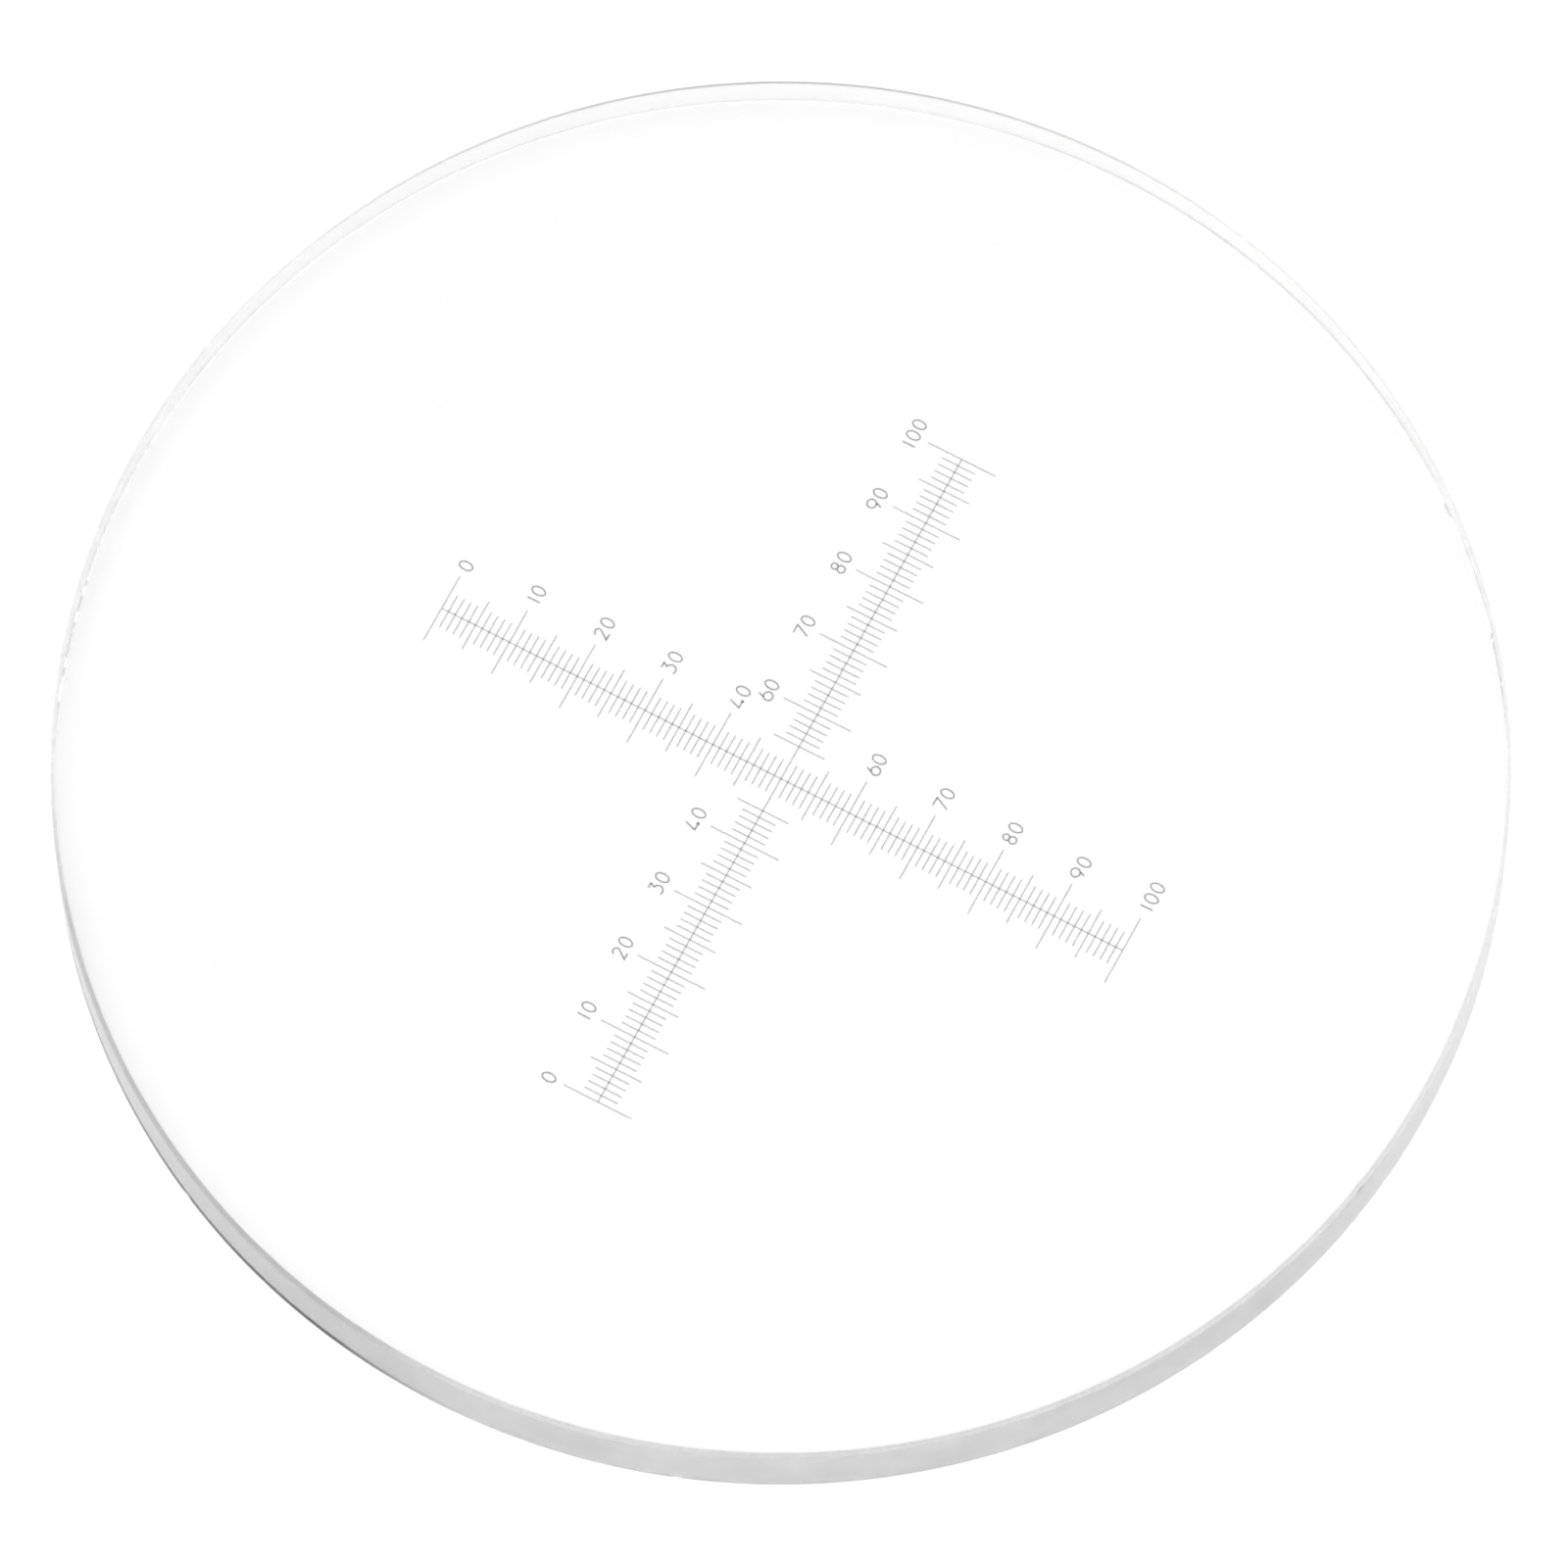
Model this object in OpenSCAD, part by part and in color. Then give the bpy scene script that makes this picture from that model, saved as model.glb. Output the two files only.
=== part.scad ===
// Round glass eyepiece reticle: a clear glass disc, ground round its rim, with two
// crossed scales in a thin opaque film on its lower face. Each scale is 10 mm long in
// divisions of 0.1 mm, and its numerals read the right way round from above.
//
// The origin is the centre of the disc's lower face, the one that carries the film.
// +Z points up through the glass towards the eye, +X runs along the horizontal scale
// from 0 to 100, and +Y points at the 0 of the vertical scale.

/* [Glass disc] */
// Diameter of the disc, which drops into a 19 mm seat
disc_d = 18.9; // [18.5:0.05:19.5]
// Thickness of the glass
disc_t = 1.2; // [0.9:0.1:2]
// Width and height of the bevel round the rim's upper edge
upper_bevel = 0.06; // [0.02:0.02:0.2]
// Width and height of the bevel that only breaks the rim's lower edge
lower_bevel = 0.02; // [0.01:0.01:0.1]

/* [Film] */
// Thickness of the film
film_t = 0.002; // [0.001:0.001:0.01]
// Width of the two scale lines and of every tick
line_w = 0.01; // [0.006:0.002:0.02]
// Width of the strokes that draw the numerals
stroke_w = 0.016; // [0.01:0.002:0.024]

/* [Scales] */
// Distance between neighbouring ticks
tick_pitch = 0.1; // [0.08:0.01:0.12]
// How far a unit tick reaches to each side of its scale line
unit_reach = 0.25; // [0.15:0.05:0.3]
// How far the tick at every fifth division reaches
five_reach = 0.375; // [0.325:0.025:0.4]
// How far the tick at every tenth division reaches
ten_reach = 0.5; // [0.45:0.05:0.6]
// Divisions to each side of the centre where the horizontal scale has no ticks
open_divisions = 4; // [0:1:4]

/* [Numerals] */
// Height of a digit, between the centres of its strokes
digit_h = 0.19; // [0.14:0.01:0.22]
// Distance between the centres of two digits side by side
digit_pitch = 0.168; // [0.16:0.004:0.2]
// The same distance where the first of the two is a 1
pitch_after_one = 0.136; // [0.12:0.004:0.16]
// Gap between a tick and the numeral above it
gap_above = 0.12; // [0.06:0.02:0.2]
// Gap between a tick and the numeral beside it
gap_beside = 0.11; // [0.05:0.02:0.21]

/* [Hidden] */
$fn = 96;
divisions = 100;
centre = divisions / 2;
half_scale = centre * tick_pitch;

// Divisions marked by each kind of tick, and by a numeral; the centre carries none
unit_marks = [for (k = [0 : divisions]) if (k % 5 != 0) k];
five_marks = [for (k = [0 : divisions]) if (k % 10 == 5) k];
ten_marks = [for (k = [0 : divisions]) if (k % 10 == 0 && k != centre) k];

// Half the width of a 0, as a share of the digit's height
zero_half_w = 0.29;
// Where the middle of a numeral lies above the horizontal scale line
numeral_y = ten_reach + gap_above + digit_h / 2;
// Where the first digit of a numeral lies beside the vertical scale line
numeral_x = ten_reach + gap_beside + zero_half_w * digit_h;

glass_colour = [0.86, 0.93, 0.95, 0.45];
film_colour = [0.12, 0.12, 0.13];

// ---- Glass ----

// Clear disc with a ground rim, bevelled where the rim meets each face
module glass_disc() {
    r = disc_d / 2;
    color(glass_colour)
        rotate_extrude()
            polygon([
                [0, 0],
                [r - lower_bevel, 0],
                [r, lower_bevel],
                [r, disc_t - upper_bevel],
                [r - upper_bevel, disc_t],
                [0, disc_t]
            ]);
}

// ---- Film on the lower face ----

// Lays a flat shape on the lower face as film
module film() {
    color(film_colour)
        translate([0, 0, -film_t])
            linear_extrude(film_t)
                children();
}

// Turns what is drawn along the horizontal scale to lie along the vertical one
module along_vertical() {
    rotate(-90)
        children();
}

// Draws a shape and its mirror image below the scale line
module both_sides() {
    children();
    mirror([0, 1])
        children();
}

// Ticks of one kind, each in two halves that stand on the scale line's edges
module ticks(marks, reach) {
    for (k = marks)
        both_sides()
            translate([(k - centre) * tick_pitch - line_w / 2, line_w / 2])
                square([line_w, reach - line_w / 2]);
}

// The horizontal scale's marks, less the ones beside the centre
function clear_of_centre(marks) =
    [for (k = marks) if (abs(k - centre) > open_divisions) k];

// One unbroken line, end tick to end tick
module horizontal_line() {
    film()
        square([2 * half_scale + line_w, line_w], center = true);
}

// Two halves that stand on the horizontal line
module vertical_line() {
    film()
        both_sides()
            translate([-line_w / 2, line_w / 2])
                square([line_w, half_scale]);
}

module horizontal_unit_ticks() {
    film()
        ticks(clear_of_centre(unit_marks), unit_reach);
}

module horizontal_five_ticks() {
    film()
        ticks(clear_of_centre(five_marks), five_reach);
}

module horizontal_ten_ticks() {
    film()
        ticks(ten_marks, ten_reach);
}

module vertical_unit_ticks() {
    film()
        along_vertical()
            ticks(unit_marks, unit_reach);
}

module vertical_five_ticks() {
    film()
        along_vertical()
            ticks(five_marks, five_reach);
}

module vertical_ten_ticks() {
    film()
        along_vertical()
            ticks(ten_marks, ten_reach);
}

// ---- Strokes: lines and rings of constant width, drawn with straight edges ----

arc_steps = 24;

// Points along part of an oval, both ends included
function arc(middle, rx, ry, from, to, steps = arc_steps) =
    [for (i = [0 : steps])
        let (a = from + (to - from) * i / steps)
        middle + [rx * cos(a), ry * sin(a)]];

// Points once round an oval
function oval(middle, rx, ry) =
    arc(middle, rx, ry, 0, 360 * (1 - 1 / arc_steps), arc_steps - 1);

function unit(v) = v / norm(v);

function left_of(v) = [-v.y, v.x];

// Sideways step from point i of a line to the edge of a stroke one unit wide to each
// side, mitred where the line turns
function side_step(line, i) =
    let (
        last = len(line) - 1,
        came = left_of(unit(line[max(i, 1)] - line[max(i, 1) - 1])),
        goes = left_of(unit(line[min(i, last - 1) + 1] - line[min(i, last - 1)])),
        mitre = unit(came + goes)
    )
    mitre / (mitre * came);

// A stroke along a line given in digit heights, out along its right edge and back
// along its left, anticlockwise as the ovals are
module stroke(line) {
    scaled = line * digit_h;
    last = len(line) - 1;
    right = [for (i = [0 : last]) scaled[i] - side_step(line, i) * stroke_w / 2];
    left = [for (i = [last : -1 : 0]) scaled[i] + side_step(line, i) * stroke_w / 2];
    polygon(concat(right, left));
}

// A closed stroke round an oval given in digit heights
module ring(middle, rx, ry) {
    edge = stroke_w / 2 / digit_h;
    difference() {
        polygon(oval(middle, rx + edge, ry + edge) * digit_h);
        polygon(oval(middle, rx - edge, ry - edge) * digit_h);
    }
}

// ---- Digits: one digit high, round the origin ----

module digit_0() {
    ring([0, 0], zero_half_w, 0.5);
}

module digit_1() {
    stroke([[0, -0.5], [0, 0.5]]);
}

module digit_2() {
    r = 0.25;
    stroke(concat(arc([0, 0.5 - r], r, r, 165, -40), [[-r, -0.5], [r, -0.5]]));
}

// Flat top, then a slanted stroke into an open bowl
module digit_3() {
    r = 0.34;
    stroke(concat([[-0.22, 0.5], [0.2, 0.5]], arc([-0.05, r - 0.5], r, r, 80, -130)));
}

// Open at the top, with a short upright across the bar
module digit_4() {
    bar_y = -0.31;
    stroke([[-0.05, 0.5], [-0.32, bar_y], [0.32, bar_y]]);
    stroke([[0.18, bar_y + 0.14], [0.18, bar_y - 0.14]]);
}

// A ring with a straight tail that runs from the top into its upper left
module digit_6() {
    r = 0.32;
    middle = [0.04, r - 0.5];
    join = 130;
    ring(middle, r, r);
    stroke([[0, 0.5], middle + r * [cos(join), sin(join)]]);
}

module digit_7() {
    stroke([[-0.32, 0.5], [0.32, 0.5], [-0.15, -0.5]]);
}

// Two rings that touch, the lower one larger
module digit_8() {
    lower_r = 0.27;
    upper_r = 0.5 - lower_r;
    ring([0, lower_r - 0.5], lower_r, lower_r);
    ring([0, 0.5 - upper_r], upper_r, upper_r);
}

module digit_9() {
    rotate(180)
        digit_6();
}

module digit(d) {
    if (d == 0) digit_0();
    if (d == 1) digit_1();
    if (d == 2) digit_2();
    if (d == 3) digit_3();
    if (d == 4) digit_4();
    if (d == 6) digit_6();
    if (d == 7) digit_7();
    if (d == 8) digit_8();
    if (d == 9) digit_9();
}

// ---- Numerals ----

function digits_of(n) = [for (c = str(n)) ord(c) - ord("0")];

// Distance from the first digit of a numeral to digit i
function digit_x(digits, i) =
    i == 0 ? 0 : digit_x(digits, i - 1) + (digits[i - 1] == 1 ? pitch_after_one : digit_pitch);

// A numeral whose first digit is at the origin
module numeral(n) {
    digits = digits_of(n);
    for (i = [0 : len(digits) - 1])
        translate([digit_x(digits, i), 0])
            digit(digits[i]);
}

// A numeral above its tick. The last digit stands where it would if all were spaced
// alike and centred on the tick.
module horizontal_numeral(n) {
    digits = digits_of(n);
    last = len(digits) - 1;
    first_x = (n - centre) * tick_pitch + last * digit_pitch / 2 - digit_x(digits, last);
    film()
        translate([first_x, numeral_y])
            numeral(n);
}

// A numeral to the right of its tick
module vertical_numeral(n) {
    film()
        translate([numeral_x, (centre - n) * tick_pitch])
            numeral(n);
}

glass_disc();
horizontal_line();
horizontal_unit_ticks();
horizontal_five_ticks();
horizontal_ten_ticks();
vertical_line();
vertical_unit_ticks();
vertical_five_ticks();
vertical_ten_ticks();
for (n = ten_marks) {
    horizontal_numeral(n);
    vertical_numeral(n);
}
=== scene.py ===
"""Round glass eyepiece reticle lying on a pale, softly lit table.

The glass is rebuilt here with its polished faces, ground rim and uneven edges. The film
of the two scales stays as it is in the CAD model and gets its material here. Every
length is in metres, in the frame of the CAD model: +Z up, the graduated face at z = 0.
"""
import math

import bpy
from mathutils import Matrix, Vector, noise


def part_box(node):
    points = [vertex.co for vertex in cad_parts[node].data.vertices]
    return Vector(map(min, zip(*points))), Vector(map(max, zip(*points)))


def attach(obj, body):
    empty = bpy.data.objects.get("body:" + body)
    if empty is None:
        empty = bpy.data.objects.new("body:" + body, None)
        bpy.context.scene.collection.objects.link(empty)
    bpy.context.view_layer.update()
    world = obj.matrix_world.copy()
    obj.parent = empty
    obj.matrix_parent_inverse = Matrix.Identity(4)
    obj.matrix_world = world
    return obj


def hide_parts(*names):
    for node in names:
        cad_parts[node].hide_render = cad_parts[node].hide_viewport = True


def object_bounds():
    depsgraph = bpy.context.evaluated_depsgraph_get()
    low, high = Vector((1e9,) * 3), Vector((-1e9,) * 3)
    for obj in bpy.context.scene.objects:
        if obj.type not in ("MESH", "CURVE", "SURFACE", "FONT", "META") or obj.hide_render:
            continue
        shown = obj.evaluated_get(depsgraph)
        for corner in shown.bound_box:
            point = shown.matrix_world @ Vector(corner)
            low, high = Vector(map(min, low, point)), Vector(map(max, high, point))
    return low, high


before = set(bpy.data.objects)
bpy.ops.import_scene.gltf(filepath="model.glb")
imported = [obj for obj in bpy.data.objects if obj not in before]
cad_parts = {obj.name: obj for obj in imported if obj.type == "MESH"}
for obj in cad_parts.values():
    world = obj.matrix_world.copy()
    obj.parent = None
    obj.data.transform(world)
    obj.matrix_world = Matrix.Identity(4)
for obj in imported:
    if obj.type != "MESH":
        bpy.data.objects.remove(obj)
cad_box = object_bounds()

MM = 0.001
MICRON = 0.000001

GLASS_NODE = "glass_disc"
glass_low, glass_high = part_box(GLASS_NODE)
RIM_RADIUS = (glass_high.x - glass_low.x) / 2
UPPER_Z = glass_high.z
LOWER_Z = glass_low.z
BEVEL = 0.06 * MM
LOWER_BEVEL = 0.02 * MM

# Optical contact: the glass laps over the film by this much, so that the film is seen
# inside the glass and no two surfaces share a plane. The table lies as far below the film.
CONTACT = 1 * MICRON


# ---- Small features of the glass ----

# Sides of the disc, in degrees round it from +X. The ground rim gets painted shade on the front
# side, towards the camera, and on the back side, and a painted shadow on the shadow side
FRONT_SIDE = -151
BACK_SIDE = FRONT_SIDE + 180
SHADOW_SIDE = 151

# Cosines of the angles from that side where the painted shadow starts and where it is full
SHADOW_START = 0.84
SHADOW_FULL = 0.94

# Dust grains on the upper face: x and y in millimetres
DUST_RADIUS = 0.035 * MM
DUST = [
    (3.5, 6.9),
    (2.2, 6.2),
    (2.8, 5.0),
    (5.2, 6.1),
    (-2.6, 6.9),
    (-1.8, 3.0),
    (7.6, 0.9),
    (-5.9, 5.1),
    (-5.7, -2.4),
]

# Chips in the rim's edges: angle round the disc in degrees, height up the rim from 0 at
# the lower edge to 1 at the upper one, half width and depth
CHIPS = [
    (-76, 0.0, 0.09 * MM, 0.010 * MM),
    (-100, 1.0, 0.07 * MM, 0.010 * MM),
    (-160, 0.0, 0.08 * MM, 0.010 * MM),
    (154, 0.0, 0.07 * MM, 0.010 * MM),
]

# Dark specks on the rim: angle and height as for the chips, and radius
RIM_SPECKS = [
    (-100, 0.55, 0.03 * MM),
    (-99, 0.6, 0.02 * MM),
    (178, 0.6, 0.03 * MM),
    (-144, 0.4, 0.015 * MM),
]


def on_rim(degrees, height):
    """A place on the rim, given as for the chips."""
    angle = math.radians(degrees)
    return (RIM_RADIUS * math.cos(angle), RIM_RADIUS * math.sin(angle), height * UPPER_Z)


# ---- Node helpers ----

class Nodes:
    """A material's node tree, with short calls for the nodes used here."""

    def __init__(self, name):
        self.material = bpy.data.materials.new(name)
        self.material.use_nodes = True
        self.tree = self.material.node_tree
        self.shader = self.tree.nodes["Principled BSDF"]
        self.place = self.new("ShaderNodeTexCoord").outputs["Object"]

    def new(self, kind, **settings):
        node = self.tree.nodes.new(kind)
        for key, value in settings.items():
            setattr(node, key, value)
        return node

    def link(self, source, target):
        self.tree.links.new(source, target)

    def drive(self, name, source):
        """Links one of the shader's own sockets."""
        self.link(source, self.shader.inputs[name])

    def set(self, **values):
        """Sets constants on the shader's own sockets; underscores stand for spaces."""
        for key, value in values.items():
            self.shader.inputs[key.replace("_", " ")].default_value = value

    def noise(self, size, detail=3.0, roughness=0.5):
        """Noise whose features are about size across."""
        node = self.new("ShaderNodeTexNoise")
        node.inputs["Scale"].default_value = 1 / size
        node.inputs["Detail"].default_value = detail
        node.inputs["Roughness"].default_value = roughness
        self.link(self.place, node.inputs["Vector"])
        return node.outputs["Fac"]

    def specks(self, spacing, radius, share):
        """1 on round specks, 0 between them. share is how many cells hold a speck."""
        cells = self.new("ShaderNodeTexVoronoi")
        cells.inputs["Scale"].default_value = 1 / spacing
        self.link(self.place, cells.inputs["Vector"])
        edge = radius / spacing
        near = self.range(cells.outputs["Distance"], edge, 0.5 * edge, 0, 1)
        split = self.new("ShaderNodeSeparateColor")
        self.link(cells.outputs["Color"], split.inputs["Color"])
        chosen = self.math("LESS_THAN", split.outputs["Red"], share)
        return self.math("MULTIPLY", near, chosen)

    def math(self, operation, a, b):
        node = self.new("ShaderNodeMath", operation=operation)
        for socket, value in zip(node.inputs, (a, b)):
            if isinstance(value, (int, float)):
                socket.default_value = value
            else:
                self.link(value, socket)
        return node.outputs["Value"]

    def range(self, value, from_low, from_high, to_low, to_high):
        return map_range(self.tree, value, from_low, from_high, to_low, to_high)

    def spots(self, places):
        """1 on round spots given as (place, radius), 0 away from them."""
        mask = 0.0
        for spot, radius in places:
            away = self.new("ShaderNodeVectorMath", operation="DISTANCE")
            self.link(self.place, away.inputs[0])
            away.inputs[1].default_value = spot
            inside = self.range(away.outputs["Value"], radius, 0.5 * radius, 0, 1)
            mask = self.math("MAXIMUM", inside, mask)
        return mask

    def towards(self, degrees, start, full):
        """1 on the side of the disc that faces a direction, falling to 0 away from it.
        start and full are cosines of the angles where it starts and where it is 1."""
        away = self.new("ShaderNodeVectorMath", operation="DOT_PRODUCT")
        flat = self.new("ShaderNodeVectorMath", operation="NORMALIZE")
        self.link(self.place, flat.inputs[0])
        self.link(flat.outputs["Vector"], away.inputs[0])
        angle = math.radians(degrees)
        away.inputs[1].default_value = (math.cos(angle), math.sin(angle), 0)
        return self.range(away.outputs["Value"], start, full, 0, 1)

    def mix(self, factor, low, high):
        """A colour between two grey or coloured ends."""
        node = self.new("ShaderNodeMix", data_type="RGBA")
        self.link(factor, node.inputs["Factor"])
        node.inputs["A"].default_value = (*low, 1)
        node.inputs["B"].default_value = (*high, 1)
        return node.outputs["Result"]

    def bump(self, height, distance, strength):
        node = self.new("ShaderNodeBump")
        node.inputs["Distance"].default_value = distance
        node.inputs["Strength"].default_value = strength
        self.link(height, node.inputs["Height"])
        self.drive("Normal", node.outputs["Normal"])


def map_range(tree, value, from_low, from_high, to_low, to_high):
    """A linear map of value; each limit is a number or another node's output."""
    node = tree.nodes.new("ShaderNodeMapRange")
    tree.links.new(value, node.inputs["Value"])
    limits = {
        "From Min": from_low,
        "From Max": from_high,
        "To Min": to_low,
        "To Max": to_high,
    }
    for key, limit in limits.items():
        if isinstance(limit, (int, float)):
            node.inputs[key].default_value = limit
        else:
            tree.links.new(limit, node.inputs[key])
    return node.outputs["Result"]


# ---- Materials ----

GLASS_IOR = 1.52

GRAIN_SIZE = 0.045 * MM
GRAIN_HEIGHT = 0.004 * MM
GRAIN_STRENGTH = 0.8
PATCH_SIZE = 0.4 * MM


def polished_glass():
    """Clear glass with a few grains of dust and finer specks between them."""
    n = Nodes("polished_glass")
    n.set(Base_Color=(1, 1, 1, 1), Transmission_Weight=1.0, IOR=GLASS_IOR)
    grains = n.spots([((x * MM, y * MM, UPPER_Z), DUST_RADIUS) for x, y in DUST])
    fine = n.specks(spacing=0.6 * MM, radius=0.01 * MM, share=0.3)
    dust = n.math("MAXIMUM", grains, fine)
    n.drive("Roughness", n.range(dust, 0, 1, 0.0, 0.35))
    n.drive("Base Color", n.mix(dust, (1, 1, 1), (0.7, 0.7, 0.7)))
    return n.material


def ground_glass(name, tint, clearness, roughness, grit, front=1.0, back=1.0, shadow=0.5):
    """Glass ground with abrasive: grainy, with a few dark specks. grit is how much light
    the darkest grains leave; front, back and shadow say the same of those sides of the
    disc, where 1 is no darkening: painted shade on the front and back sides and a painted
    shadow on the shadow side."""
    n = Nodes(name)
    n.set(Transmission_Weight=clearness, IOR=GLASS_IOR)
    grain = n.noise(GRAIN_SIZE, detail=3.0, roughness=0.7)
    patches = n.noise(PATCH_SIZE, detail=2.0)
    shade = n.math("ADD", n.math("MULTIPLY", grain, 0.7), n.math("MULTIPLY", patches, 0.3))
    grain_and_painted_shade = n.range(shade, 0.4, 0.6, grit, 1.0)
    # Painted shade: darker towards the front and back sides, and a painted shadow on the shadow
    # side
    for side, start, full, left in (
        (FRONT_SIDE, 0.0, 1.0, front),
        (BACK_SIDE, 0.75, 1.0, back),
        (SHADOW_SIDE, SHADOW_START, SHADOW_FULL, shadow),
    ):
        painted_side_shade = n.range(n.towards(side, start, full), 0, 1, 1, left)
        grain_and_painted_shade = n.math("MULTIPLY", grain_and_painted_shade, painted_side_shade)
    specks = n.spots([(on_rim(degrees, height), r) for degrees, height, r in RIM_SPECKS])
    grain_and_painted_shade = n.math("MULTIPLY", grain_and_painted_shade, n.range(specks, 0, 1, 1, 0.3))
    n.drive("Base Color", n.mix(grain_and_painted_shade, (0, 0, 0), (tint, tint, tint)))
    n.drive("Roughness", n.range(patches, 0.3, 0.7, roughness, 1.3 * roughness))
    n.bump(grain, GRAIN_HEIGHT, GRAIN_STRENGTH)
    return n.material


def chromium_film():
    """Dark low-reflection chromium, a little uneven in thickness."""
    n = Nodes("chromium_film")
    n.set(Metallic=1.0)
    cloud = n.noise(0.05 * MM, detail=2.0)
    n.drive("Base Color", n.mix(cloud, (0.018, 0.018, 0.02), (0.05, 0.05, 0.055)))
    n.drive("Roughness", n.range(cloud, 0.3, 0.7, 0.25, 0.4))
    return n.material


def table_top():
    """Pale translucent table lit evenly from below."""
    n = Nodes("table_top")
    n.set(Roughness=0.6, Emission_Color=(1, 1, 1, 1), Emission_Strength=TABLE_GLOW)
    cloud = n.noise(12 * MM, detail=2.0)
    n.drive("Base Color", n.mix(cloud, (0.84, 0.84, 0.84), (0.86, 0.86, 0.86)))
    return n.material


# ---- Glass disc ----

SEGMENTS = 1440
WALL_ROWS = 8
INSIDE_CAD = 8 * MICRON
EDGE_WANDER = 3 * MICRON
WALL_WANDER = 0.8 * MICRON
SHARP_DEGREES = 20

# Rings on each face, as shares of the radius where the face meets its bevel
FACE_RINGS = (0.4, 0.75, 0.93, 0.985)

# The foot is a strip of painted shade along the wall's lower edge: coarse ground glass made
# opaque and darker, with a painted shadow on the shadow side. These shares of its
# height are added up: one all round, one growing to the front and one on the shadow side.
SHADE_STRIP_HEIGHT = 0.07 * MM
SHADE_STRIP_ALL_ROUND = 0.25
SHADE_STRIP_FRONT = 0.75
SHADE_STRIP_SHADOW_SIDE = 1.8

# What each ring's surface is, as material slots of the mesh
FACE, BEVEL_TOP, WALL, SHADE_STRIP = 0, 1, 2, 3


def wander(angle, row, size):
    """Smooth unevenness round the rim, the same each run and different in each row."""
    spot = Vector((math.cos(angle), math.sin(angle), 0)) * RIM_RADIUS
    fine = noise.noise(spot / (0.12 * MM) + Vector((0, 0, 7.3 * row)))
    broad = noise.noise(spot / (0.9 * MM) + Vector((0, 0, 3.1 * row)))
    return size * (0.6 * fine + 0.7 * broad)


def chip_depth(angle, height):
    """How deep the chips cut at a place on the rim."""
    depth = 0.0
    for degrees, level, half_width, deepest in CHIPS:
        turn = math.remainder(angle - math.radians(degrees), math.tau)
        along = turn * RIM_RADIUS / half_width
        up = (height - level) * (UPPER_Z - LOWER_Z) / half_width
        away = along * along + up * up
        if away < 1:
            depth = max(depth, deepest * (1 - away))
    return depth


def shade_strip_height(angle):
    """Height of the foot, the strip of painted shade along the wall's lower edge, at one angle.
    """
    front = max(0, math.cos(angle - math.radians(FRONT_SIDE)))
    away = math.cos(angle - math.radians(SHADOW_SIDE))
    shadowed = min(1, max(0, (away - SHADOW_START) / (SHADOW_FULL - SHADOW_START)))
    return SHADE_STRIP_HEIGHT * (SHADE_STRIP_ALL_ROUND + SHADE_STRIP_FRONT * front + SHADE_STRIP_SHADOW_SIDE * shadowed)


def wall_rings(angle, radius, wall_low, wall_high):
    """The wall's rings: its lower edge, the foot's top, the rows above it, its upper edge."""
    shade_strip_top = wall_low + shade_strip_height(angle)
    step = (wall_high - shade_strip_top) / WALL_ROWS
    levels = [wall_low] + [shade_strip_top + step * row for row in range(WALL_ROWS + 1)]
    last = len(levels) - 1
    slots = [SHADE_STRIP] + [WALL] * (last - 1) + [BEVEL_TOP]
    unevenness = [EDGE_WANDER, 2 * EDGE_WANDER] + [0] * (last - 2) + [EDGE_WANDER]
    rings = []
    for row, z in enumerate(levels):
        height = (z - wall_low) / (wall_high - wall_low)
        bulge = wander(angle, 40 + row, WALL_WANDER) - chip_depth(angle, height)
        rings.append((radius + bulge, z + wander(angle, 20 + row, unevenness[row]), slots[row]))
    return rings


def profile(angle):
    """(radius, z, slot of the surface up to the next ring) of each ring of the disc at one
    angle, from the lower face out round the rim and back over the upper face."""
    low, high = LOWER_Z - CONTACT, UPPER_Z
    wall = RIM_RADIUS - INSIDE_CAD
    face_edge = wall - BEVEL
    low_edge = wall - LOWER_BEVEL - chip_depth(angle, 0.0) + wander(angle, 0, EDGE_WANDER)
    high_chip = chip_depth(angle, 1.0)
    high_edge = face_edge - high_chip + wander(angle, 60, EDGE_WANDER)
    mid_bevel = (face_edge + BEVEL / 2 - high_chip, high - BEVEL / 2 - high_chip / 2)
    rings = [(face_edge * share, low, FACE) for share in FACE_RINGS]
    rings.append((low_edge, low, FACE))
    rings += wall_rings(angle, wall, low + LOWER_BEVEL, high - BEVEL)
    rings.append((*mid_bevel, BEVEL_TOP))
    rings.append((high_edge, high, FACE))
    rings += [(face_edge * share, high, FACE) for share in reversed(FACE_RINGS)]
    return rings


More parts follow.
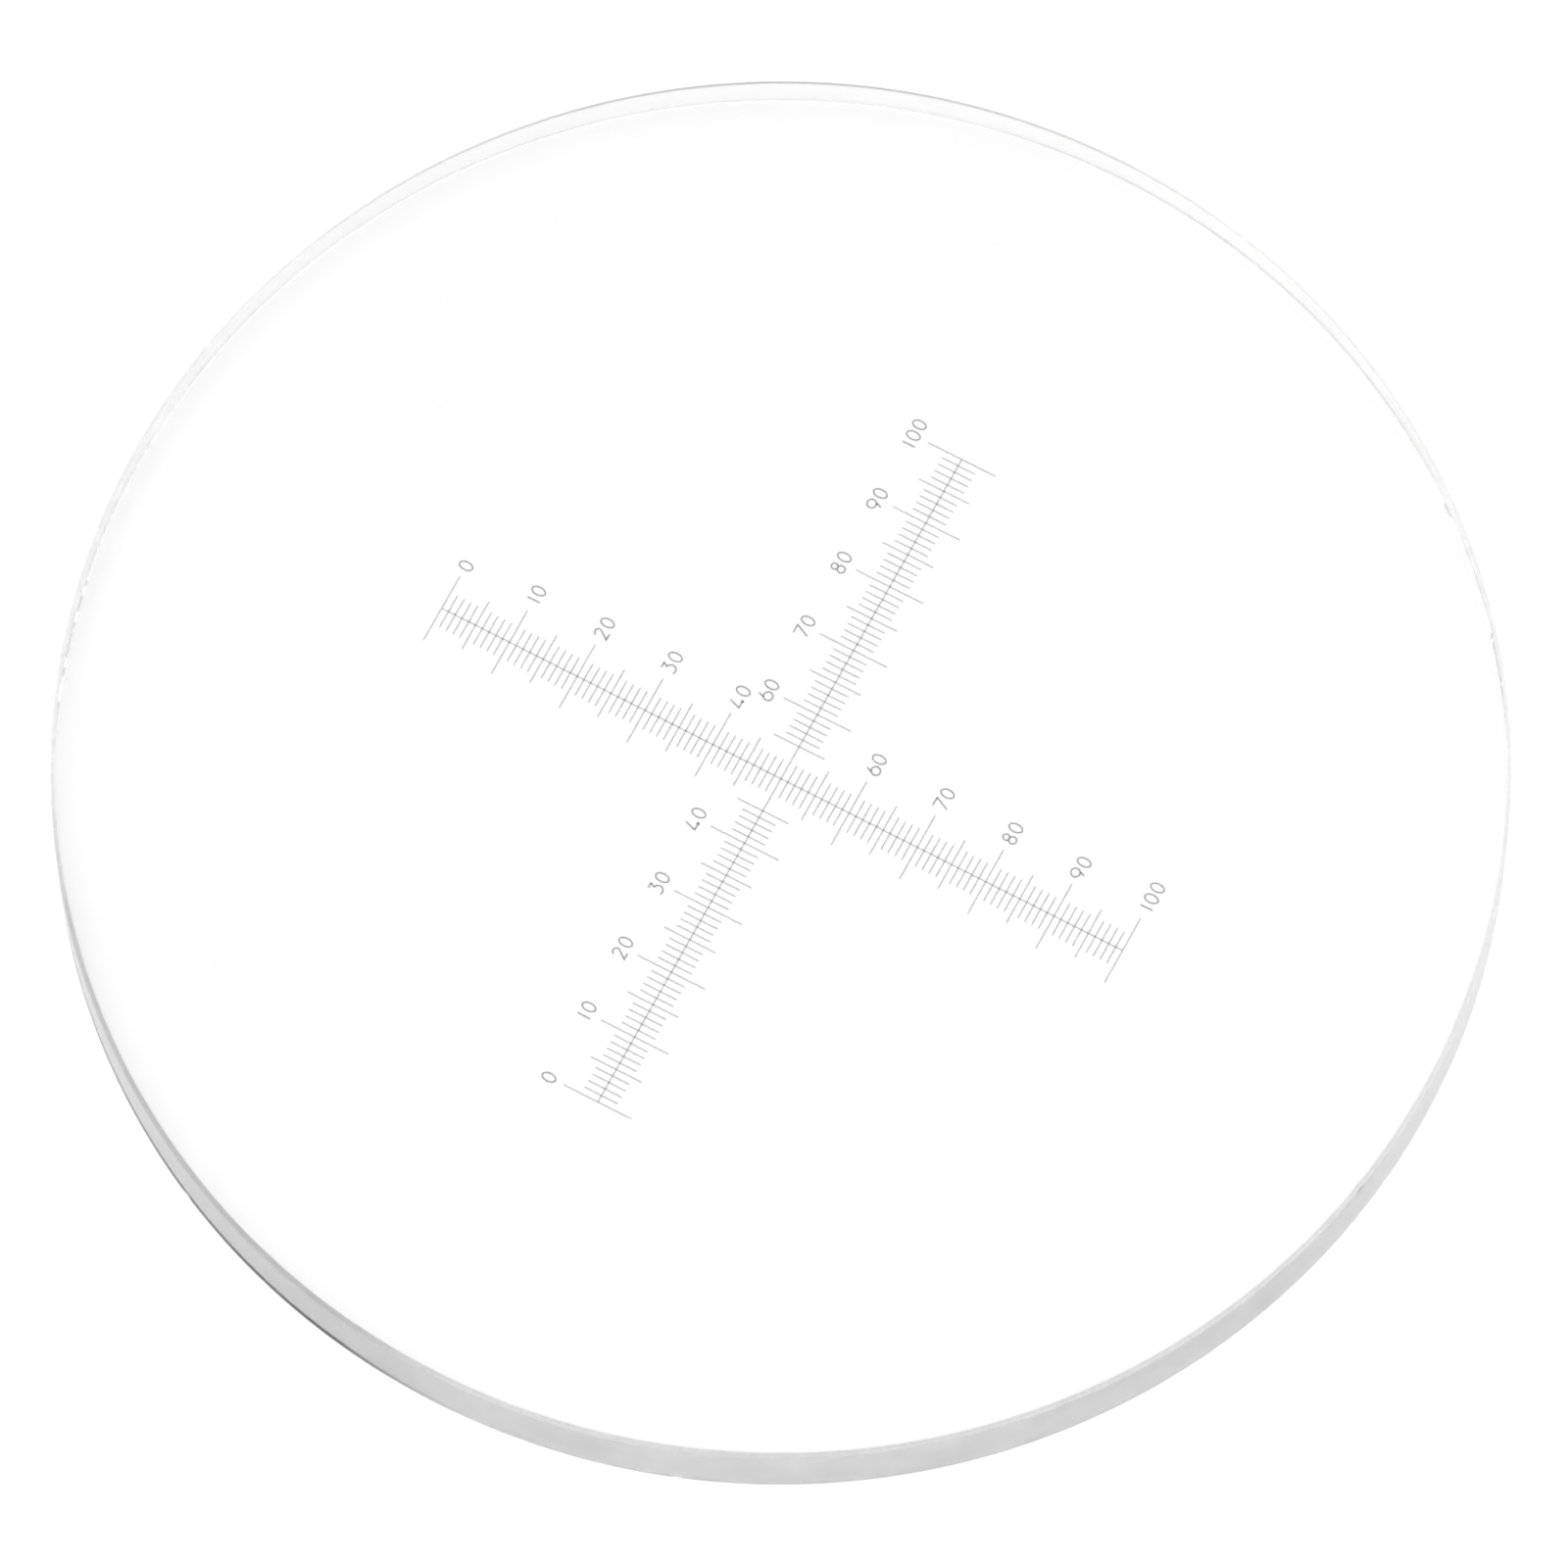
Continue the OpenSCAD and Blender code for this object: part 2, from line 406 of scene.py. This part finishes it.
def build_glass():
    """The disc as one closed mesh with polished faces, coarse edges and a finer wall."""
    points = []
    for i in range(SEGMENTS):
        angle = math.tau * i / SEGMENTS
        points += [(r * math.cos(angle), r * math.sin(angle), z) for r, z, _ in profile(angle)]
    kinds = [slot for _, _, slot in profile(0.0)]
    rings = len(kinds)
    lower_pole = len(points)
    upper_pole = lower_pole + 1
    points += [(0, 0, LOWER_Z - CONTACT), (0, 0, UPPER_Z)]
    faces, slots = [], []
    for i in range(SEGMENTS):
        here = i * rings
        there = (i + 1) % SEGMENTS * rings
        faces.append((lower_pole, there, here))
        slots.append(FACE)
        for ring in range(rings - 1):
            faces.append((here + ring, there + ring, there + ring + 1, here + ring + 1))
            slots.append(kinds[ring])
        faces.append((upper_pole, here + rings - 1, there + rings - 1))
        slots.append(FACE)
    mesh = bpy.data.meshes.new("reticle_glass")
    mesh.from_pydata(points, [], faces)
    mesh.polygons.foreach_set("material_index", slots)
    mesh.shade_smooth()
    mesh.set_sharp_from_angle(angle=math.radians(SHARP_DEGREES))
    mesh.validate()
    glass = bpy.data.objects.new("reticle_glass", mesh)
    bpy.context.scene.collection.objects.link(glass)
    # The bevel, wall and foot materials darken the rim with painted shade on the front and back
    # sides and a painted shadow on the shadow side
    for material in (
        polished_glass(),
        ground_glass("ground_bevel_painted_shade", 0.9, 1.0, 0.3, grit=0.75, front=0.6, back=0.3, shadow=0.45),
        ground_glass("ground_wall_painted_shade", 1.0, 0.99, 0.1, grit=0.5, shadow=0.65),
        ground_glass("ground_foot_painted_shade", 0.95, 0.0, 0.5, grit=0.85, front=0.55, shadow=0.08),
    ):
        mesh.materials.append(material)
    return glass


# ---- Studio ----

# The sky's brightness: at the horizon in front and behind, and from ZENITH_Z up, where
# ZENITH_Z is the height of a direction on the unit sphere
FRONT_HORIZON = 0.55
BACK_HORIZON = 0.9
ZENITH = 1.1
ZENITH_Z = 0.6

TABLE_HALF = 0.6
TABLE_GLOW = 0.44

SOFTBOX_PLACE = Vector((-0.25, 0.35, 0.5))
SOFTBOX_SIZE = (0.5, 0.35)
SOFTBOX_WATTS = 0.6

# The camera stands this way round from -Y, this high and this far from the point it
# looks at, in degrees and metres
VIEW_AZIMUTH = -61.3
VIEW_ELEVATION = 70.53
VIEW_ROLL = -0.61
VIEW_DISTANCE = 234.9 * MM
SENSOR_MM = 36
LENS_MM = 416.7
CLIP = (0.01, 5)
AIM = Vector((-0.0955, -0.096, 0.6)) * MM


def build_table():
    z = cad_box[0].z - CONTACT
    half = TABLE_HALF
    corners = [(-half, -half, z), (half, -half, z), (half, half, z), (-half, half, z)]
    mesh = bpy.data.meshes.new("table")
    mesh.from_pydata(corners, [], [(0, 1, 2, 3)])
    table = bpy.data.objects.new("table", mesh)
    bpy.context.scene.collection.objects.link(table)
    mesh.materials.append(table_top())


def build_sky():
    """A tent that is white overhead and falls off to grey at the horizon, more so at
    the front than at the back."""
    world = bpy.data.worlds.new("tent")
    bpy.context.scene.world = world
    world.use_nodes = True
    tree = world.node_tree
    place = tree.nodes.new("ShaderNodeTexCoord").outputs["Generated"]
    split = tree.nodes.new("ShaderNodeSeparateXYZ")
    tree.links.new(place, split.inputs["Vector"])
    behind = tree.nodes.new("ShaderNodeVectorMath")
    behind.operation = "DOT_PRODUCT"
    tree.links.new(place, behind.inputs[0])
    angle = math.radians(VIEW_AZIMUTH)
    behind.inputs[1].default_value = (-math.sin(angle), math.cos(angle), 0)
    horizon = map_range(tree, behind.outputs["Value"], -1, 1, FRONT_HORIZON, BACK_HORIZON)
    shade = map_range(tree, split.outputs["Z"], 0, ZENITH_Z, horizon, ZENITH)
    tree.links.new(shade, tree.nodes["Background"].inputs["Color"])


def build_lamp():
    """One large softbox above and behind."""
    data = bpy.data.lights.new("softbox", "AREA")
    data.shape = "RECTANGLE"
    data.size, data.size_y = SOFTBOX_SIZE
    data.energy = SOFTBOX_WATTS
    lamp = bpy.data.objects.new("softbox", data)
    lamp.location = SOFTBOX_PLACE
    lamp.rotation_mode = "QUATERNION"
    lamp.rotation_quaternion = (-SOFTBOX_PLACE).to_track_quat("-Z", "Y")
    bpy.context.scene.collection.objects.link(lamp)


def build_camera():
    """The photo's view, with a long lens."""
    a, e = math.radians(VIEW_AZIMUTH), math.radians(VIEW_ELEVATION)
    back = Vector((math.sin(a) * math.cos(e), -math.cos(a) * math.cos(e), math.sin(e)))
    data = bpy.data.cameras.new("camera")
    data.sensor_width = SENSOR_MM
    data.lens = LENS_MM
    data.clip_start, data.clip_end = CLIP
    camera = bpy.data.objects.new("camera", data)
    camera.location = AIM + back * VIEW_DISTANCE
    facing = (-back).to_track_quat("-Z", "Y").to_matrix()
    turned = facing @ Matrix.Rotation(math.radians(VIEW_ROLL), 3, "Z")
    camera.rotation_mode = "QUATERNION"
    camera.rotation_quaternion = turned.to_quaternion()
    bpy.context.scene.collection.objects.link(camera)
    bpy.context.scene.camera = camera


build_camera()
build_sky()
build_lamp()
build_table()

glass = build_glass()
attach(glass, "root")
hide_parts(GLASS_NODE)

film = chromium_film()
for name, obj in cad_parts.items():
    if name != GLASS_NODE:
        for slot in obj.material_slots:
            slot.material = film

# Light passes the glass many times before it leaves. The wide pixel filter gives the
# softness of the photo.
scene = bpy.context.scene
scene.view_settings.view_transform = "Standard"
scene.cycles.filter_width = 2.6
scene.cycles.max_bounces = 24
scene.cycles.glossy_bounces = 16
scene.cycles.transmission_bounces = 16
